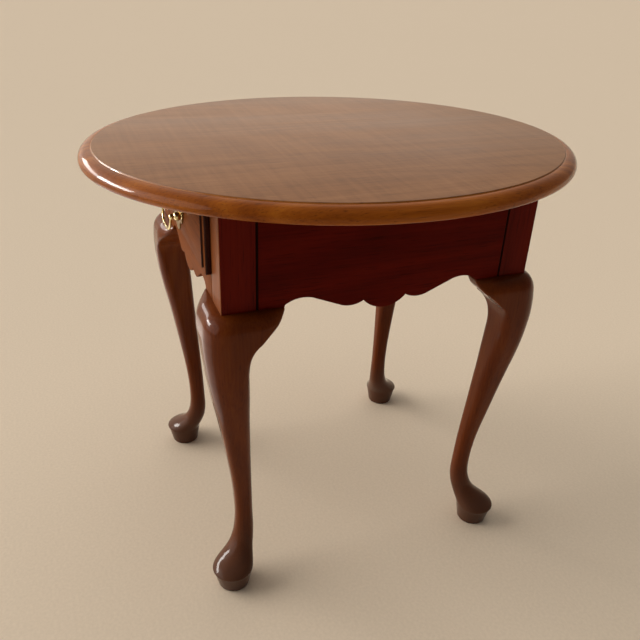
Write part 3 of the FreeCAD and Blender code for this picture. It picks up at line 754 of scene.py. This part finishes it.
# %% Rub a leg smooth
long_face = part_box("apron_right")[1][0]
end_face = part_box("apron_rear")[1][1]
knee_depth, knee_start, knee_end = 0.006, 0.36, 0.40
pad_share, rub_start, rub_end = 0.12, 0.031, 0.042


def rub_smooth(limb, side_x, side_y):
    knee = limb.vertex_groups.new(name="knee")
    above_pad = limb.vertex_groups.new(name="above_pad")
    for point in limb.data.vertices:
        fill_out(point, side_x, side_y)
        proud = max(abs(point.co.x) - long_face, abs(point.co.y) - end_face)
        at_knee = ease_in(proud, 0.0, knee_depth) * ease_in(point.co.z, knee_start, knee_end)
        knee.add([point.index], at_knee, "REPLACE")
        on_limb = pad_share + (1 - pad_share) * ease_in(point.co.z, rub_start, rub_end)
        above_pad.add([point.index], on_limb, "REPLACE")
    for rounds, group in ((14, "knee"), (5, "above_pad")):
        rub = limb.modifiers.new("rubbed_smooth", "SMOOTH")
        rub.factor = 0.5
        rub.iterations = rounds
        rub.vertex_group = group
        bpy.ops.object.modifier_apply(modifier=rub.name)
    bpy.ops.object.shade_smooth()


print("knees are rubbed above", knee_start, "and feet above", rub_start)

# %% [markdown]
# Carved wood has one flowing skin. So the limb and its two brackets are joined, remeshed into a single
# surface on a fine grid, and rubbed smooth. The square post is joined last, so that its edges stay crisp.

# %% Carved legs
skin_grid = 0.0011


def carved_leg(corner, side_x, side_y):
    blocks = ["knee_block_" + corner + "_side", "knee_block_" + corner + "_end"]
    brackets = [eased_copy(node, node + "_blank", leg_wood) for node in blocks]
    limb = leg_skin("cabriole_leg_" + corner, side_x, side_y)
    for bracket in brackets:
        bracket.select_set(True)
    bpy.ops.object.join()
    skin = limb.modifiers.new("one_skin", "REMESH")
    skin.mode = "VOXEL"
    skin.voxel_size = skin_grid
    bpy.ops.object.modifier_apply(modifier=skin.name)
    rub_smooth(limb, side_x, side_y)
    post = square_post(corner, side_x, side_y)
    only(limb)
    post.select_set(True)
    bpy.ops.object.join()
    hand_over(limb, "frame", "leg_wood", "leg_" + corner, *blocks)
    return limb


corners = {"front_right": (1, -1), "front_left": (-1, -1), "rear_right": (1, 1), "rear_left": (-1, 1)}
for corner, sides in corners.items():
    leg = carved_leg(corner, *sides)
    print(leg.name, len(leg.data.polygons), "faces", [m.name for m in leg.data.materials])

# %% [markdown]
# Two long aprons and one rear apron join the posts, and two rails frame the drawer opening.
# All but the upper rail are sawn to a scalloped line below, and all corners are rubbed down with paper.
# The eased ends of a long apron, in the small groove where it meets a post, get a dark finish: painted shadow in
# that groove.

# %% Aprons and rails
long_ease, end_ease, groove_reach = 0.0013, 0.0007, 0.0016
painted_shade_index = 1
boards = {
    "apron_right": shaded_long_wood,
    "apron_left": shaded_long_wood,
    "apron_rear": end_wood,
    "drawer_rail": end_wood,
    "upper_rail": end_wood,
}
for node, finish in boards.items():
    is_long = finish is shaded_long_wood
    board = eased_copy(node, "dressed_" + node, finish, ease=long_ease if is_long else end_ease)
    board.data.materials.append(joint_shadow_paint)
    # Painted shadow in the groove beside each post.
    for face in board.data.polygons:
        at_post = abs(abs(face.center.y) - post_inner_y) < groove_reach
        if is_long and at_post and abs(face.normal.y) > 0.2:
            face.material_index = painted_shade_index
    hand_over(board, "frame", "frame_wood", node)
print("boards dressed", len(boards))

# %% [markdown]
# The drawer has a lipped front in cherry. Behind it are plain sides and a back in a pale secondary wood,
# joined by dovetails, which show when the drawer is open. Their edges are only just eased, as on a real box.

# %% Drawer
drawer_boards = {
    "drawer_front": (end_wood, "drawer_wood", 0.0006),
    "drawer_side_right": (inner_wood, "inner_wood", 0.0005),
    "drawer_side_left": (inner_wood, "inner_wood", 0.0005),
    "drawer_back": (inner_cross_wood, "inner_wood", 0.0005),
}
for node, (finish, slot, ease) in drawer_boards.items():
    board = eased_copy(node, "dressed_" + node, finish, ease=ease)
    hand_over(board, "drawer", slot, node)
print("drawer boards dressed", len(drawer_boards))

# %% [markdown]
# The moulded edge of a lipped drawer gets a darker finish than its face, a glaze together with painted shade,
# which frames the drawer with a dark line.
# Those faces are found by their direction: they look sideways, up or down, and lie in front of the rails.

# %% Lip glaze and painted shade
front = bpy.data.objects["dressed_drawer_front"]
front.data.materials.append(lip_glaze_and_shade)
rail_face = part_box("drawer_rail")[0][1]
# The lip's sideways faces get the glaze with painted shade.
for face in front.data.polygons:
    if abs(face.normal.y) < 0.8 and face.center.y < rail_face:
        face.material_index = painted_shade_index
print("glazed faces", sum(face.material_index == painted_shade_index for face in front.data.polygons))

# %% [markdown]
# The pull is a shaped brass plate with two turned posts and a bail that hangs between them.
# The plate's outline is filed to a soft edge, so it is bevelled like the boards but in brass.

# %% Back plate
plate = eased_copy("pull_plate", "shaped_back_plate", aged_brass, ease=0.0006)
hand_over(plate, "drawer", "brass", "pull_plate")
plate_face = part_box("pull_plate")[0][1]
print("plate face at", round(plate_face, 4))

# %% [markdown]
# Each post is turned: a shank through the drawer front, a thin collar, a ball, and a small head that holds the
# bail. Its outline is a list of rings, each with its distance in front of the plate and its radius.
# The rings lie close together where the ball and the head turn, because there the outline bends most.

# %% Outline of a turned post
shank_end = plate_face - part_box("pull_post_right")[1][1]
ball_out, ball_radius = 0.0054, 0.0056
head_out, head_radius = 0.0125, 0.0036
post_rings = [(shank_end, 0.0015), (shank_end + 0.0005, 0.0020), (0.0, 0.0020), (0.0, 0.0044)]
post_rings += [(0.0006, 0.0046), (0.0012, 0.0042)]
for turn in range(-45, 66, 10):
    angle = math.radians(turn)
    post_rings.append((ball_out + ball_radius * math.sin(angle), ball_radius * math.cos(angle)))
for turn in range(-30, 88, 13):
    angle = math.radians(turn)
    post_rings.append((head_out + head_radius * math.sin(angle), head_radius * math.cos(angle)))
print("rings on a post", len(post_rings), "length", round(post_rings[-1][0] - shank_end, 4))

# %% [markdown]
# A disc at the shank's end is extruded towards the front, and every ring is resized to the next radius,
# which does what a lathe does. The second post is a copy with its own mesh, moved to the other side.

# %% Turned posts
pivot_y = plate_face - head_out
pivot_z = (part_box("pull_post_right")[0][2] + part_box("pull_post_right")[1][2]) / 2
post_x = 0.031
bpy.ops.object.select_all(action="DESELECT")
out, radius = post_rings[0]
bpy.ops.mesh.primitive_circle_add(
    vertices=40, radius=radius, fill_type="NGON",
    location=(post_x, plate_face - out, pivot_z), rotation=(math.pi / 2, 0, 0),
)
post = bpy.context.object
post.name = "turned_post_right"
bpy.ops.object.transform_apply(location=True, rotation=True, scale=True)
edit_all()
for next_out, next_radius in post_rings[1:]:
    bpy.ops.mesh.extrude_region_move(TRANSFORM_OT_translate={"value": (0, out - next_out, 0)})
    growth = next_radius / radius
    bpy.ops.transform.resize(value=(growth, 1, growth), center_override=(post_x, plate_face - next_out, pivot_z))
    out, radius = next_out, next_radius
close_up()
bpy.ops.object.shade_smooth_by_angle(angle=math.radians(40))
post.data.materials.append(brass)
bpy.ops.object.duplicate()
left_post = bpy.context.object
left_post.name = "turned_post_left"
left_post.location.x = -2 * post_x
hand_over(post, "drawer", "brass", "pull_post_right")
hand_over(left_post, "drawer", "brass", "pull_post_left")
print("turned posts at", post_x, "and", -post_x)

# %% [markdown]
# The bail is a bent bar that hangs between the posts, leans out a little, and swells where fingers hook
# under it. A curve with a round section follows such a bend best: each point has its own thickness,
# and the curve is turned into a mesh when the line is right.

# %% Hanging bail
limb_x, bail_drop, bail_square = 0.0268, 0.0223, 0.56
lean = math.radians(6.6)
half_bend = [(limb_x, 0.0012, 0.9)]
for turn in (4, 14, 28, 42, 55, 70):
    angle = math.radians(turn)
    x, drop = limb_x * math.cos(angle) ** bail_square, -bail_drop * math.sin(angle) ** bail_square
    half_bend.append((x, drop, 0.92 + turn / 400))
bend = half_bend + [(0.0, -bail_drop, 1.15)] + [(-x, drop, swell) for x, drop, swell in reversed(half_bend)]
bpy.ops.curve.primitive_bezier_curve_add(location=(0, 0, 0))
handle = bpy.context.object
handle.name = "hanging_bail"
line = handle.data.splines[0].bezier_points
line.add(len(bend) - len(line))
for point, (x, drop, swell) in zip(line, bend):
    point.co = (x, pivot_y + drop * math.sin(lean), pivot_z + drop * math.cos(lean))
    point.radius = swell
    point.handle_left_type = point.handle_right_type = "AUTO"
handle.data.resolution_u = 14
handle.data.bevel_depth = 0.0016
handle.data.bevel_resolution = 6
handle.data.use_fill_caps = True
only(handle)
bpy.ops.object.convert(target="MESH")
handle = bpy.context.object
print("bail", len(handle.data.polygons), "faces")

# %% [markdown]
# Two short pins carry the bail in the heads of the posts. They turn with it, so they are joined to it,
# and they lie on the line about which it swings.

# %% Pins of the bail
pin_radius, pin_length = 0.0015, 0.0060
pins = []
for side in (1, -1):
    bpy.ops.mesh.primitive_cylinder_add(
        vertices=24, radius=pin_radius, depth=pin_length,
        location=(side * (limb_x + pin_length / 2), pivot_y, pivot_z), rotation=(0, math.pi / 2, 0),
    )
    pins.append(bpy.context.object)
only(handle)
for pin in pins:
    pin.select_set(True)
bpy.ops.object.join()
handle.data.materials.clear()
handle.data.materials.append(brass)
bpy.ops.object.shade_smooth_by_angle(angle=math.radians(40))
hand_over(handle, "bail", "brass", "bail")
print("pins reach", round(max(point.co.x for point in handle.data.vertices), 4))

# %% [markdown]
# Runners, guides, kickers, corner blocks, the drawer's floor, nuts and screws keep their construction shapes:
# they are plain sawn strips and turned metal in the dark of the frame. They only need their own finishes.

# %% Inner pieces
inner_nodes = {
    "drawer_bottom": inner_cross_wood,
    "pull_nuts": brass,
    "top_screws": steel,
    "corner_block_screws": steel,
}
for strip in ("runner", "drawer_guide", "kicker", "corner_block"):
    for side in ("right", "left"):
        inner_nodes[strip + "_" + side] = inner_wood
for node, finish in inner_nodes.items():
    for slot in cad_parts[node].material_slots:
        slot.material = finish
print("inner pieces finished", len(inner_nodes))
